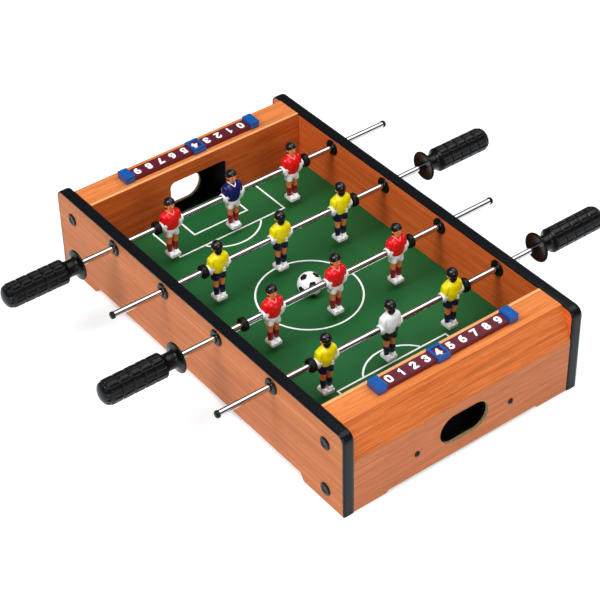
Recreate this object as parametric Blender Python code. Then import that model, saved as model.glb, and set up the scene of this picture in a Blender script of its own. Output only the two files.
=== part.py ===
"""Tabletop foosball table: two side panels with black edging, folded end boards around a green
playfield, and four push-pull rods, each with three men, two rubber stops and one handle.

The rods run along X, the pitch runs along Y, and Z is up. The near end is at -Y.
"""

import math

import bmesh
import bpy
from mathutils import Vector

MM = 0.001
GAP = 0.3 * MM  # between pieces that touch

# Cabinet
LENGTH = 508 * MM
WIDTH = 308 * MM
HEIGHT = 105.6 * MM
PANEL_THICK = 12.7 * MM
INNER_X = WIDTH / 2 - PANEL_THICK
BAND_THICK = 2 * MM
CORNER_RADIUS = 10 * MM
FOOT_INNER_Y = 190 * MM
RECESS_HEIGHT = 9 * MM
RECESS_SLOPE = 6 * MM

# End structure, as distances from the middle of the table
END_FACE_Y = 253.4 * MM
END_BOARD_THICK = 5 * MM
FOLD_Z = 68.4 * MM
SLANT_THICK = 5 * MM
LEDGE_OUTER_Y = 237 * MM
LEDGE_THICK = 5 * MM
END_FOOT_X = 100 * MM
END_RECESS_HEIGHT = 3 * MM
HAND_HOLE_HALF = (31.75 * MM, 18.4 * MM)
HAND_HOLE_Z = 36.5 * MM

# Playing area
PITCH_Z = 39 * MM
PLAYFIELD_THICK = 3 * MM
GROOVE_DEPTH = 4 * MM
WALL_Y = 202.7 * MM
WALL_THICK = 4 * MM
GOAL_HALF = 38.7 * MM
GOAL_TOP_Z = 87.2 * MM
GOAL_CORNER = 7 * MM
POCKET_HALF = 46 * MM
POCKET_FLOOR_Z = 13 * MM
POCKET_TOP_Z = 91 * MM
POCKET_WALL = 2 * MM

# Rods: the y of each, and which side its handle is on
ROD_Z = 92.5 * MM
ROD_YS = (140 * MM, 47.4 * MM, -47.4 * MM, -140 * MM)
HANDLE_SIDES = (-1, 1, -1, 1)
ROD_OFFSETS = (1.1 * MM, -2.4 * MM, -1.4 * MM, -4.5 * MM)  # how far each stands from centre
ROD_RADIUS = 3.5 * MM
ROD_BORE = 2.7 * MM
ROD_FREE_END = 212.8 * MM
ROD_IN_HANDLE = 54 * MM
BORE_RADIUS = ROD_RADIUS + GAP
ROUND_SIDES = 16

# What is on a rod
HANDLE_START = 200.5 * MM
MAN_SPACING = 82 * MM
HUB_HALF = 15 * MM
HUB_RADIUS = 5.6 * MM
MAN_BORE = 3.9 * MM
STOP_RADIUS = 7.75 * MM
STOP_WIDTH = 6 * MM
STOP_CHAMFER = 0.8 * MM
LOOSE_STOP_X = 119 * MM  # rod 3's left stop stands clear of its man
BUSHING_FLANGE = 9.5 * MM
BUSHING_SLEEVE = 6 * MM
BUSHING_FLANGE_THICK = 2 * MM
BUSHING_CHAMFER = 1.1 * MM

# Handle outline: (distance from its table end, radius)
HANDLE_DISH = 2.4  # how far the table-side face sinks at the rod
HANDLE_FLARE = ((0, 16.2), (0.6, 17.2), (1.6, 17.2), (2.8, 14.6), (4.4, 11), (6.4, 9.4))
HANDLE_NECK = ((16, 9.6), (17.8, 12.4), (20, 13.9))
HANDLE_END = ((84, 13.9), (88.6, 11.6), (91.2, 7.4), (92, 3))
HANDLE_LENGTH = 92 * MM
GRIP_GROOVES = (32.5, 45.5, 58.5, 71.5)
GROOVE_HALF = 0.9
GROOVE_RADIUS = 12.9

# A man: (height from the rod's axis, half width, half depth) of each level
TORSO = ((-7, 8.2, 5.6), (1, 9.8, 6.9), (9, 12.8, 6.6), (13.2, 10.4, 4.8), (15.4, 4.6, 3.2))
SHORTS = ((-16.2, 7.7, 5.4), (-5, 8.5, 6.3))
LEG_X = 3.9 * MM
LEG_RADII = (2.9 * MM, 3.5 * MM)
LEG_SPAN = (-39 * MM, -14 * MM)
ARM_X = 12.4 * MM
ARM_RADII = (2.3 * MM, 3.1 * MM)
ARM_SPAN = (-6.6 * MM, 9.5 * MM)
FOOT_LOW = Vector((-6.3, -7.2, -44.5)) * MM
FOOT_HIGH = Vector((6.3, 6.5, -38)) * MM
FOOT_BEVEL = 0.8 * MM
NECK_RADIUS = 3 * MM
NECK_SPAN = (13 * MM, 20.5 * MM)
HEAD_RADIUS = 6.4 * MM
HEAD_Z = 25.1 * MM

# Score counters
SCORE_Y = 218.7 * MM
DIGIT_PITCH = 15.66 * MM
BAR_HALF_WIDTH = 7.8 * MM
BAR_HEIGHT = 5 * MM
CAP_X = 84.8 * MM
CAP_HALF = (6 * MM, 9.2 * MM)
CAP_HEIGHT = 9 * MM
MARKER_HALF = (8 * MM, 9.7 * MM)
MARKER_HEIGHT = 7 * MM
MARKER_WINDOW = (5.4 * MM, 6.4 * MM)
MARKER_DIGIT = 4

BALL_RADIUS = 13.75 * MM


# Materials -------------------------------------------------------------------------------------


def material(name, colour, roughness, metallic=0.0):
    made = bpy.data.materials.new(name)
    made.use_nodes = True
    shader = made.node_tree.nodes["Principled BSDF"]
    shader.inputs["Base Color"].default_value = (*colour, 1.0)
    shader.inputs["Roughness"].default_value = roughness
    shader.inputs["Metallic"].default_value = metallic
    made.diffuse_color = (*colour, 1.0)
    return made


def make_materials():
    return {
        "side_wood": material("side_wood", (0.68, 0.32, 0.15), 0.45),
        "end_wood": material("end_wood", (0.62, 0.22, 0.08), 0.45),
        "ledge_wood": material("ledge_wood", (0.78, 0.38, 0.15), 0.45),
        "wall_wood": material("wall_wood", (0.42, 0.12, 0.03), 0.45),
        "edge_band": material("edge_band", (0.012, 0.012, 0.014), 0.3),
        "pitch_green": material("pitch_green", (0.015, 0.11, 0.035), 0.5),
        "black_plastic": material("black_plastic", (0.015, 0.015, 0.016), 0.35),
        "chrome": material("chrome", (0.8, 0.8, 0.82), 0.12, 1.0),
        "rubber": material("rubber", (0.01, 0.01, 0.01), 0.75),
        "red_plastic": material("red_plastic", (0.62, 0.01, 0.01), 0.35),
        "blue_plastic": material("blue_plastic", (0.01, 0.01, 0.22), 0.35),
        "yellow_plastic": material("yellow_plastic", (0.85, 0.66, 0.01), 0.35),
        "white_plastic": material("white_plastic", (0.8, 0.8, 0.8), 0.35),
        "score_maroon": material("score_maroon", (0.12, 0.008, 0.02), 0.4),
        "score_blue": material("score_blue", (0.01, 0.09, 0.5), 0.35),
    }


# Shape helpers ---------------------------------------------------------------------------------


def add_object(name, mesh, paint):
    made = bpy.data.objects.new(name, mesh)
    bpy.context.scene.collection.objects.link(made)
    if not mesh.materials:
        mesh.materials.append(paint)
    return made


def mesh_from(bm, name):
    """Turns bm into a mesh whose faces all look outwards."""
    bmesh.ops.recalc_face_normals(bm, faces=bm.faces)
    mesh = bpy.data.meshes.new(name)
    bm.to_mesh(mesh)
    bm.free()
    return mesh


def smooth(mesh):
    mesh.shade_smooth()
    mesh.set_sharp_from_angle(angle=math.radians(35))
    return mesh


def prism(name, outline, axis, low, high, paint):
    """A closed outline pushed along one axis. The outline gives the other two, in X, Y, Z order."""
    bm = bmesh.new()
    ring = []
    for a, b in outline:
        place = [a, b]
        place.insert(axis, low)
        ring.append(bm.verts.new(place))
    face = bm.faces.new(ring)
    pushed = bmesh.ops.extrude_face_region(bm, geom=[face])
    step = Vector((0, 0, 0))
    step[axis] = high - low
    moved = [item for item in pushed["geom"] if isinstance(item, bmesh.types.BMVert)]
    bmesh.ops.translate(bm, verts=moved, vec=step)
    return add_object(name, mesh_from(bm, name), paint)


def block(name, low, high, paint, bevel=0.0):
    bm = bmesh.new()
    bmesh.ops.create_cube(bm, size=1)
    low, high = Vector(low), Vector(high)
    bmesh.ops.scale(bm, verts=bm.verts, vec=high - low)
    bmesh.ops.translate(bm, verts=bm.verts, vec=(low + high) / 2)
    if bevel:
        bmesh.ops.bevel(bm, geom=bm.edges[:], offset=bevel, segments=1, affect="EDGES")
    return add_object(name, mesh_from(bm, name), paint)


def turned(name, outline, sides=ROUND_SIDES, closed=True):
    """The mesh of an (x, radius) outline spun about the X axis."""
    bm = bmesh.new()
    points = [bm.verts.new((x, 0, radius)) for x, radius in outline]
    edges = [bm.edges.new(pair) for pair in zip(points, points[1:])]
    if closed:
        edges.append(bm.edges.new((points[-1], points[0])))
    bmesh.ops.spin(
        bm,
        geom=points + edges,
        cent=(0, 0, 0),
        axis=(1, 0, 0),
        angle=2 * math.pi,
        steps=sides,
        use_merge=True,
    )
    bmesh.ops.remove_doubles(bm, verts=bm.verts, dist=1e-6)
    return smooth(mesh_from(bm, name))


def rounded_outline(half_a, half_b, radius, centre=(0, 0), steps=5):
    """A rectangle with rounded corners, as points going round."""
    points = []
    for turn, (sign_a, sign_b) in enumerate(((1, 1), (-1, 1), (-1, -1), (1, -1))):
        corner_a = centre[0] + sign_a * (half_a - radius)
        corner_b = centre[1] + sign_b * (half_b - radius)
        for step in range(steps + 1):
            angle = math.pi / 2 * (turn + step / steps)
            points.append(
                (corner_a + radius * math.cos(angle), corner_b + radius * math.sin(angle))
            )
    return points


def inset(outline, distance):
    """A convex outline with every side moved inwards."""
    area = sum(a[0] * b[1] - b[0] * a[1] for a, b in zip(outline, outline[1:] + outline[:1]))
    turn = 1 if area > 0 else -1
    lines = []
    for a, b in zip(outline, outline[1:] + outline[:1]):
        along = (Vector(b) - Vector(a)).normalized()
        inward = Vector((-along.y, along.x)) * turn
        lines.append((Vector(a) + inward * distance, along))
    points = []
    for (p, d), (q, e) in zip(lines[-1:] + lines[:-1], lines):
        across = d.x * e.y - d.y * e.x
        t = ((q.x - p.x) * e.y - (q.y - p.y) * e.x) / across
        points.append(tuple(p + d * t))
    return points


def cutter(made):
    made.hide_render = True
    made.display_type = "WIRE"
    return made


def cut(target, tool, name="cut"):
    change = target.modifiers.new(name, "BOOLEAN")
    change.operation = "DIFFERENCE"
    change.solver = "EXACT"
    change.object = cutter(tool)


def at_end(outline, end):
    """Turns a (distance from the middle, z) outline into (y, z) at the near or far end."""
    return [(end * distance, z) for distance, z in outline]


# Cabinet ---------------------------------------------------------------------------------------


def panel_top(inwards):
    """The rounded outline of a side panel from one foot to the other, moved inwards."""
    reach = LENGTH / 2 - inwards
    radius = CORNER_RADIUS - inwards
    centre_y = LENGTH / 2 - CORNER_RADIUS
    centre_z = HEIGHT - CORNER_RADIUS
    points = [(-reach, 0)]
    for side, start in ((-1, math.pi), (1, math.pi / 2)):
        for step in range(6):
            angle = start - math.pi / 2 * step / 5
            points.append(
                (side * centre_y + radius * math.cos(angle), centre_z + radius * math.sin(angle))
            )
    return points + [(reach, 0)]


def make_side_panel(name, side, paints):
    outer = side * WIDTH / 2
    inner = side * INNER_X
    low, high = sorted((outer, inner))
    feet = [
        (FOOT_INNER_Y, 0),
        (FOOT_INNER_Y - RECESS_SLOPE, RECESS_HEIGHT),
        (-FOOT_INNER_Y + RECESS_SLOPE, RECESS_HEIGHT),
        (-FOOT_INNER_Y, 0),
    ]
    core = panel_top(BAND_THICK + GAP) + feet
    panel = prism(f"{name}_side_panel", core, 0, low, high, paints["side_wood"])
    for number, y in enumerate(ROD_YS, 1):
        hole = turned(
            f"{name}_hole_{number}",
            [(-WIDTH, 0), (-WIDTH, BUSHING_SLEEVE + GAP), (WIDTH, BUSHING_SLEEVE + GAP), (WIDTH, 0)],
            closed=False,
        )
        tool = add_object(f"cut_{name}_hole_{number}", hole, paints["side_wood"])
        tool.location = (0, y, ROD_Z)
        cut(panel, tool, f"rod_hole_{number}")
    groove_y = WALL_Y + WALL_THICK + GAP
    groove_low, groove_high = sorted((inner - side * 5 * MM, inner + side * GROOVE_DEPTH))
    groove = block(
        f"cut_{name}_groove",
        (groove_low, -groove_y, PITCH_Z - PLAYFIELD_THICK - GAP),
        (groove_high, groove_y, PITCH_Z + GAP),
        paints["side_wood"],
    )
    cut(panel, groove, "playfield_groove")
    edging = panel_top(0) + panel_top(BAND_THICK)[::-1]
    prism(f"{name}_edge_band", edging, 0, low, high, paints["edge_band"])


def slant_corners():
    """Where the slanted board meets the end board and the ledge, outside and inside."""
    low_out = Vector((END_FACE_Y, FOLD_Z))
    high_out = Vector((LEDGE_OUTER_Y, HEIGHT))
    along = (high_out - low_out).normalized()
    inward = Vector((-along.y, along.x)) * SLANT_THICK
    start = low_out + inward
    low_in = start + along * ((END_FACE_Y - END_BOARD_THICK - start.x) / along.x)
    high_in = start + along * ((HEIGHT - LEDGE_THICK - start.y) / along.y)
    return [tuple(corner) for corner in (low_out, high_out, high_in, low_in)]


def make_end_boards(name, end, paints):
    half = INNER_X - GAP
    low_out, high_out, high_in, low_in = slant_corners()
    upright = [(END_FACE_Y, 0), low_out, low_in, (END_FACE_Y - END_BOARD_THICK, 0)]
    ledge_start = WALL_Y + WALL_THICK + GAP / 2
    ledge = [(ledge_start, HEIGHT), high_out, high_in, (ledge_start, HEIGHT - LEDGE_THICK)]
    slant = [low_out, high_out, high_in, low_in]
    shapes = {
        "end_board": (upright, "end_wood"),
        "slant_board": (slant, "end_wood"),
        "top_ledge": (ledge, "ledge_wood"),
    }
    boards = {}
    for part, (outline, paint) in shapes.items():
        outline = at_end(inset(outline, GAP / 2), end)
        boards[part] = prism(f"{name}_{part}", outline, 0, -half, half, paints[paint])
    half_x, half_z = HAND_HOLE_HALF
    hole = rounded_outline(half_x, half_z, half_z - 0.01 * MM, (0, HAND_HOLE_Z))
    y_low, y_high = sorted((end * (END_FACE_Y + 5 * MM), end * (END_FACE_Y - 30 * MM)))
    hand_hole = prism(f"cut_{name}_hand_hole", hole, 1, y_low, y_high, paints["end_wood"])
    cut(boards["end_board"], hand_hole, "hand_hole")
    slope = END_RECESS_HEIGHT + 1 * MM
    arch = [
        (-END_FOOT_X, -1 * MM),
        (END_FOOT_X, -1 * MM),
        (END_FOOT_X - slope, END_RECESS_HEIGHT),
        (-END_FOOT_X + slope, END_RECESS_HEIGHT),
    ]
    recess = prism(f"cut_{name}_foot_recess", arch, 1, y_low, y_high, paints["end_wood"])
    cut(boards["end_board"], recess, "foot_recess")


def goal_wall_outline():
    """The end wall's outline, with the goal open at the bottom."""
    half = INNER_X - GAP
    bottom = PITCH_Z + GAP
    points = [(-half, bottom), (-half, HEIGHT), (half, HEIGHT), (half, bottom)]
    points.append((GOAL_HALF, bottom))
    for side, start in ((1, 0), (-1, math.pi / 2)):
        for step in range(5):
            angle = start + math.pi / 2 * step / 4
            points.append(
                (
                    side * (GOAL_HALF - GOAL_CORNER) + GOAL_CORNER * math.cos(angle),
                    GOAL_TOP_Z - GOAL_CORNER + GOAL_CORNER * math.sin(angle),
                )
            )
    return points + [(-GOAL_HALF, bottom)]


def make_goal(name, end, paints):
    near, far = sorted((end * WALL_Y, end * (WALL_Y + WALL_THICK)))
    prism(f"{name}_goal_wall", goal_wall_outline(), 1, near, far, paints["wall_wood"])
    shell = goal_room()
    pocket = prism(
        f"{name}_goal_pocket",
        at_end(inset(shell, GAP), end),
        0,
        -POCKET_HALF,
        POCKET_HALF,
        paints["black_plastic"],
    )
    inner = POCKET_HALF - POCKET_WALL
    hollow = prism(
        f"cut_{name}_pocket_hollow",
        at_end(inset(shell, GAP + POCKET_WALL), end),
        0,
        -inner,
        inner,
        paints["black_plastic"],
    )
    cut(pocket, hollow, "hollow")
    front = WALL_Y + WALL_THICK
    y_low, y_high = sorted((end * (front - 5 * MM), end * (front + 2 * POCKET_WALL)))
    low = (-inner, y_low, PITCH_Z - GAP)
    high = (inner, y_high, POCKET_TOP_Z - POCKET_WALL - GAP)
    cut(pocket, block(f"cut_{name}_pocket_mouth", low, high, paints["black_plastic"]), "mouth")
    half_x, half_z = (half - 1 * MM for half in HAND_HOLE_HALF)
    outlet = rounded_outline(half_x, half_z, half_z - 0.01 * MM, (0, HAND_HOLE_Z))
    back = END_FACE_Y - END_BOARD_THICK
    y_low, y_high = sorted((end * (back - 2 * POCKET_WALL), end * (back + 5 * MM)))
    tool = prism(f"cut_{name}_pocket_outlet", outlet, 1, y_low, y_high, paints["black_plastic"])
    cut(pocket, tool, "outlet")


def goal_room():
    """The outline of the room behind the goal, between the goal wall and the end boards."""
    front = WALL_Y + WALL_THICK
    _, _, high_in, low_in = (Vector(corner) for corner in slant_corners())
    rise = (POCKET_TOP_Z - low_in.y) / (high_in.y - low_in.y)
    top = low_in.lerp(high_in, rise)
    return [
        (front, POCKET_FLOOR_Z),
        (END_FACE_Y - END_BOARD_THICK, POCKET_FLOOR_Z),
        tuple(low_in),
        tuple(top),
        (front, POCKET_TOP_Z),
    ]


def make_playfield(paints):
    half_x = INNER_X + GROOVE_DEPTH - GAP
    half_y = WALL_Y + WALL_THICK
    low = (-half_x, -half_y, PITCH_Z - PLAYFIELD_THICK)
    block("playfield", low, (half_x, half_y, PITCH_Z), paints["pitch_green"])


# Rods ------------------------------------------------------------------------------------------


def bushing_mesh(side):
    """A two-flanged sleeve, drawn where it stands in one side panel."""
    outer = side * (WIDTH / 2 + GAP)
    inner = side * (INNER_X - GAP)
    rim = BUSHING_FLANGE - BUSHING_CHAMFER
    outer_face = outer + side * BUSHING_FLANGE_THICK
    inner_face = inner - side * BUSHING_FLANGE_THICK
    outline = [
        (outer_face, BORE_RADIUS),
        (outer_face, rim),
        (outer_face - side * BUSHING_CHAMFER, BUSHING_FLANGE),
        (outer, BUSHING_FLANGE),
        (outer, BUSHING_SLEEVE),
        (inner, BUSHING_SLEEVE),
        (inner, BUSHING_FLANGE),
        (inner_face + side * BUSHING_CHAMFER, BUSHING_FLANGE),
        (inner_face, rim),
        (inner_face, BORE_RADIUS),
    ]
    return turned("bushing", outline)


def stop_mesh():
    half = STOP_WIDTH / 2
    rim = STOP_RADIUS - STOP_CHAMFER
    outline = [
        (-half, BORE_RADIUS),
        (-half, rim),
        (-half + STOP_CHAMFER, STOP_RADIUS),
        (half - STOP_CHAMFER, STOP_RADIUS),
        (half, rim),
        (half, BORE_RADIUS),
    ]
    return turned("stop", outline)


def handle_mesh(side):
    """The handle's outline, with a blind hole for the rod."""
    outline = [(HANDLE_DISH, BORE_RADIUS / MM), *HANDLE_FLARE, *HANDLE_NECK]
    for groove in GRIP_GROOVES:
        grip = HANDLE_NECK[-1][1]
        outline += [(groove - GROOVE_HALF, grip), (groove, GROOVE_RADIUS), (groove + GROOVE_HALF, grip)]
    outline += [*HANDLE_END, (HANDLE_LENGTH / MM, 0)]
    depth = (ROD_IN_HANDLE + GAP) / MM
    outline += [(depth, 0), (depth, BORE_RADIUS / MM)]
    placed = [(side * (HANDLE_START + x * MM), radius * MM) for x, radius in outline]
    return turned("handle", placed[-2:] + placed[:-2], closed=False)


def loft(name, levels, sides):
    """The mesh through oval levels, each given as (z, half width, half depth) in millimetres."""
    bm = bmesh.new()
    rings = []
    for z, half_width, half_depth in levels:
        ring = []
        for step in range(sides):
            angle = 2 * math.pi * (step + 0.5) / sides
            corner = Vector((half_width * math.cos(angle), half_depth * math.sin(angle), z))
            ring.append(bm.verts.new(corner * MM))
        rings.append(ring)
    for low, high in zip(rings, rings[1:]):
        for step in range(sides):
            after = (step + 1) % sides
            bm.faces.new((low[step], low[after], high[after], high[step]))
    bm.faces.new(rings[0][::-1])
    bm.faces.new(rings[-1])
    return mesh_from(bm, name)


def upright(name, span, radii, sides):
    levels = [(z / MM, r / MM, r / MM) for z, r in zip(span, radii)]
    return loft(name, levels, sides)


def man_pieces(paint):
    """The solids that make up one man, around the rod's axis, looking to -Y."""
    pieces = [add_object("part_torso", loft("torso", TORSO, 8), paint)]
    pieces.append(add_object("part_shorts", loft("shorts", SHORTS, 8), paint))
    hub = [(-HUB_HALF, 0), (-HUB_HALF, HUB_RADIUS), (HUB_HALF, HUB_RADIUS), (HUB_HALF, 0)]
    pieces.append(add_object("part_hub", turned("hub", hub, 8, closed=False), paint))
    for side in (-1, 1):
        leg = add_object("part_leg", upright("leg", LEG_SPAN, LEG_RADII, 6), paint)
        leg.location.x = side * LEG_X
        arm = add_object("part_arm", upright("arm", ARM_SPAN, ARM_RADII, 6), paint)
        arm.location.x = side * ARM_X
        pieces += [leg, arm]
    pieces.append(block("part_foot", FOOT_LOW, FOOT_HIGH, paint, FOOT_BEVEL))
    neck = upright("neck", NECK_SPAN, (NECK_RADIUS, NECK_RADIUS), 6)
    pieces.append(add_object("part_neck", neck, paint))
    bm = bmesh.new()
    bmesh.ops.create_uvsphere(bm, u_segments=8, v_segments=6, radius=HEAD_RADIUS)
    bmesh.ops.translate(bm, verts=bm.verts, vec=(0, 0, HEAD_Z))
    pieces.append(add_object("part_head", mesh_from(bm, "head"), paint))
    return pieces


def man_mesh(paint):
    """One solid man with a bore for the rod, built by joining his pieces."""
    body, *others = man_pieces(paint)
    for number, other in enumerate(others):
        join = body.modifiers.new(f"join_{number}", "BOOLEAN")
        join.operation = "UNION"
        join.solver = "EXACT"
        join.object = other
    reach = HUB_HALF + 5 * MM
    bore = [(-reach, 0), (-reach, MAN_BORE), (reach, MAN_BORE), (reach, 0)]
    others.append(add_object("part_bore", turned("bore", bore, 10, closed=False), paint))
    cut(body, others[-1], "rod_bore")
    bpy.context.view_layer.update()
    graph = bpy.context.evaluated_depsgraph_get()
    made = bpy.data.meshes.new_from_object(body.evaluated_get(graph))
    for piece in [body, *others]:
        bpy.data.objects.remove(piece)
    made.materials.clear()
    return smooth(made)


def make_rod(number, paints, meshes):
    y = ROD_YS[number - 1]
    side = HANDLE_SIDES[number - 1]
    offset = ROD_OFFSETS[number - 1]
    ends = sorted((-side * ROD_FREE_END, side * (HANDLE_START + ROD_IN_HANDLE)))
    outline = [
        (ends[0], ROD_BORE),
        (ends[0], ROD_RADIUS),
        (ends[1], ROD_RADIUS),
        (ends[1], ROD_BORE),
    ]
    rod = add_object(f"rod_{number}", turned(f"rod_{number}", outline), paints["chrome"])
    rod.location = (offset, y, ROD_Z)
    facing = math.pi if number in (2, 4) else 0
    shirts = {1: ("red", "blue", "red"), 2: ("yellow",) * 3, 3: ("red",) * 3}
    shirts[4] = ("yellow", "white", "yellow")
    places = ("left", "goalkeeper" if number in (1, 4) else "middle", "right")
    for step, (place, shirt) in enumerate(zip(places, shirts[number]), -1):
        man = add_object(
            f"rod_{number}_man_{place}", meshes["man"][shirt], paints[f"{shirt}_plastic"]
        )
        man.location = (offset + step * MAN_SPACING, y, ROD_Z)
        man.rotation_euler.z = facing
    beside = MAN_SPACING + HUB_HALF + GAP + STOP_WIDTH / 2
    for place, sign in (("left", -1), ("right", 1)):
        stop = add_object(f"rod_{number}_stop_{place}", meshes["stop"], paints["rubber"])
        away = LOOSE_STOP_X if (number, sign) == (3, -1) else beside
        stop.location = (offset + sign * away, y, ROD_Z)
    handle = add_object(f"rod_{number}_handle", meshes["handle"][side], paints["black_plastic"])
    handle.location = (offset, y, ROD_Z)
    for place, sign in (("left", -1), ("right", 1)):
        bushing = add_object(
            f"rod_{number}_bushing_{place}", meshes["bushing"][sign], paints["black_plastic"]
        )
        bushing.location = (0, y, ROD_Z)


def make_rods(paints):
    man = man_mesh(paints["white_plastic"])
    meshes = {
        "man": {shirt: man.copy() for shirt in ("red", "blue", "yellow", "white")},
        "stop": stop_mesh(),
        "handle": {side: handle_mesh(side) for side in (-1, 1)},
        "bushing": {side: bushing_mesh(side) for side in (-1, 1)},
    }
    for number in (1, 2, 3, 4):
        make_rod(number, paints, meshes)


# Score counters and ball -----------------------------------------------------------------------


def make_score_counter(name, end, paints):
    """A numbered bar between two end caps, with a marker frame that slides along it."""
    base = HEIGHT + GAP
    y = end * SCORE_Y
    bar_half = CAP_X - CAP_HALF[0] - GAP
    low = (-bar_half, y - BAR_HALF_WIDTH, base)
    high = (bar_half, y + BAR_HALF_WIDTH, base + BAR_HEIGHT)
    block(f"{name}_score_bar", low, high, paints["score_maroon"])
    for place, side in (("left", -1), ("right", 1)):
        low = (side * CAP_X - CAP_HALF[0], y - CAP_HALF[1], base)
        high = (side * CAP_X + CAP_HALF[0], y + CAP_HALF[1], base + CAP_HEIGHT)
        block(f"{name}_score_cap_{place}", low, high, paints["score_blue"], 0.8 * MM)
    middle = end * (4.5 - MARKER_DIGIT) * DIGIT_PITCH
    low = (middle - MARKER_HALF[0], y - MARKER_HALF[1], base)
    high = (middle + MARKER_HALF[0], y + MARKER_HALF[1], base + MARKER_HEIGHT)
    marker = block(f"{name}_score_marker", low, high, paints["score_blue"])
    channel_half = BAR_HALF_WIDTH + GAP
    channel = block(
        f"cut_{name}_marker_channel",
        (middle - 2 * MARKER_HALF[0], y - channel_half, base - 1 * MM),
        (middle + 2 * MARKER_HALF[0], y + channel_half, base + BAR_HEIGHT + GAP),
        paints["score_blue"],
    )
    cut(marker, channel, "bar_channel")
    window = block(
        f"cut_{name}_marker_window",
        (middle - MARKER_WINDOW[0], y - MARKER_WINDOW[1], base + BAR_HEIGHT - 1 * MM),
        (middle + MARKER_WINDOW[0], y + MARKER_WINDOW[1], base + 2 * MARKER_HEIGHT),
        paints["score_blue"],
    )
    cut(marker, window, "window")


def make_ball(paints):
    bm = bmesh.new()
    bmesh.ops.create_uvsphere(bm, u_segments=18, v_segments=11, radius=BALL_RADIUS)
    ball = add_object("ball", smooth(mesh_from(bm, "ball")), paints["white_plastic"])
    ball.location = (0.6 * MM, 0, PITCH_Z + GAP + BALL_RADIUS)


def main():
    for leftover in list(bpy.data.objects):
        bpy.data.objects.remove(leftover)
    paints = make_materials()
    for name, side in (("left", -1), ("right", 1)):
        make_side_panel(name, side, paints)
    make_playfield(paints)
    for name, end in (("near", -1), ("far", 1)):
        make_end_boards(name, end, paints)
        make_goal(name, end, paints)
        make_score_counter(name, end, paints)
    make_rods(paints)
    make_ball(paints)


main()
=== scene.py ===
"""The looks of the tabletop foosball table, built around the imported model."""

import math

import bmesh
import bpy
from mathutils import Euler, Matrix, Vector, noise


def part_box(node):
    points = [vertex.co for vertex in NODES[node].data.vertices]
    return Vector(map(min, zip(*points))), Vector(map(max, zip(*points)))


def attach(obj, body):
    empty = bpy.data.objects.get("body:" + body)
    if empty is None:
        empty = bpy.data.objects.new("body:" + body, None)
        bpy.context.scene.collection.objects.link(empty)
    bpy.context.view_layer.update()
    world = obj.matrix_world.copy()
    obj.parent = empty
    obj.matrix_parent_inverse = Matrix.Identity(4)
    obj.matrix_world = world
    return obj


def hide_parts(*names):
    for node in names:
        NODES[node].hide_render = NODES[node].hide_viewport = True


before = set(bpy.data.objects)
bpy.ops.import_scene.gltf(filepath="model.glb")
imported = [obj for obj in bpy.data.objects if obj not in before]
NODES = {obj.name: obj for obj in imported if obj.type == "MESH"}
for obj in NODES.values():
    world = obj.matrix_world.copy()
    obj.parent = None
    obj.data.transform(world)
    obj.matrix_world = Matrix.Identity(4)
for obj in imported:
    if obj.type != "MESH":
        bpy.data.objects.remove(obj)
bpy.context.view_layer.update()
MM = 0.001
TABLE = "table"

LENGTH = 508 * MM
WIDTH = 308 * MM
HEIGHT = 105.6 * MM
PANEL_THICK = 12.7 * MM
INNER_X = WIDTH / 2 - PANEL_THICK
BAND_THICK = 2 * MM
BAND_DOME = 0.75 * MM
CORNER_RADIUS = 10 * MM


# Materials --------------------


def set_inputs(node, values):
    for name, value in values.items():
        node.inputs[name].default_value = value


def start_material(name, roughness, metallic=0.0, coat=0.0, specular=0.5):
    made = bpy.data.materials.new(f"{name}_look")
    made.use_nodes = True
    tree = made.node_tree
    shader = tree.nodes["Principled BSDF"]
    set_inputs(shader, {"Roughness": roughness, "Metallic": metallic, "Specular IOR Level": specular})
    set_inputs(shader, {"Coat Weight": coat, "Coat Roughness": 0.12})
    return made, tree, shader


def noise_of(tree, stretch, detail=3.0, distortion=0.0, offset=0.0, roughness=0.5):
    """A noise in the object's own space, with a scale per metre along each axis."""
    coords = tree.nodes.new("ShaderNodeTexCoord")
    mapping = tree.nodes.new("ShaderNodeMapping")
    set_inputs(mapping, {"Scale": stretch, "Location": (offset, offset * 1.7, offset * 0.6)})
    texture = tree.nodes.new("ShaderNodeTexNoise")
    set_inputs(texture, {"Scale": 1.0, "Detail": detail, "Distortion": distortion})
    set_inputs(texture, {"Roughness": roughness})
    tree.links.new(coords.outputs["Object"], mapping.inputs["Vector"])
    tree.links.new(mapping.outputs["Vector"], texture.inputs["Vector"])
    return texture.outputs["Fac"]


def ramp_of(tree, factor, stops):
    ramp = tree.nodes.new("ShaderNodeValToRGB")
    elements = ramp.color_ramp.elements
    while len(elements) < len(stops):
        elements.new(0.5)
    for element, (position, colour) in zip(elements, stops):
        element.position = position
        element.color = (*colour, 1.0)
    tree.links.new(factor, ramp.inputs["Fac"])
    return ramp.outputs["Color"]


def mix_of(tree, factor, first, second, blend="MIX"):
    mix = tree.nodes.new("ShaderNodeMix")
    mix.data_type = "RGBA"
    mix.blend_type = blend
    for socket, value in ((mix.inputs[0], factor), (mix.inputs[6], first), (mix.inputs[7], second)):
        if isinstance(value, bpy.types.NodeSocket):
            tree.links.new(value, socket)
        else:
            socket.default_value = value
    return mix.outputs[2]


def range_of(tree, value, low, high):
    """Spreads the usual reach of a noise, 0.3 to 0.7, over low to high."""
    spread = tree.nodes.new("ShaderNodeMapRange")
    set_inputs(spread, {"From Min": 0.3, "From Max": 0.7, "To Min": low, "To Max": high})
    tree.links.new(value, spread.inputs["Value"])
    return spread.outputs["Result"]


def bump_of(tree, shader, height, strength, distance):
    bump = tree.nodes.new("ShaderNodeBump")
    set_inputs(bump, {"Strength": strength, "Distance": distance})
    tree.links.new(height, bump.inputs["Height"])
    tree.links.new(bump.outputs["Normal"], shader.inputs["Normal"])


def shade(colour, factor):
    return tuple(min(1.0, part * factor) for part in colour)


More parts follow.
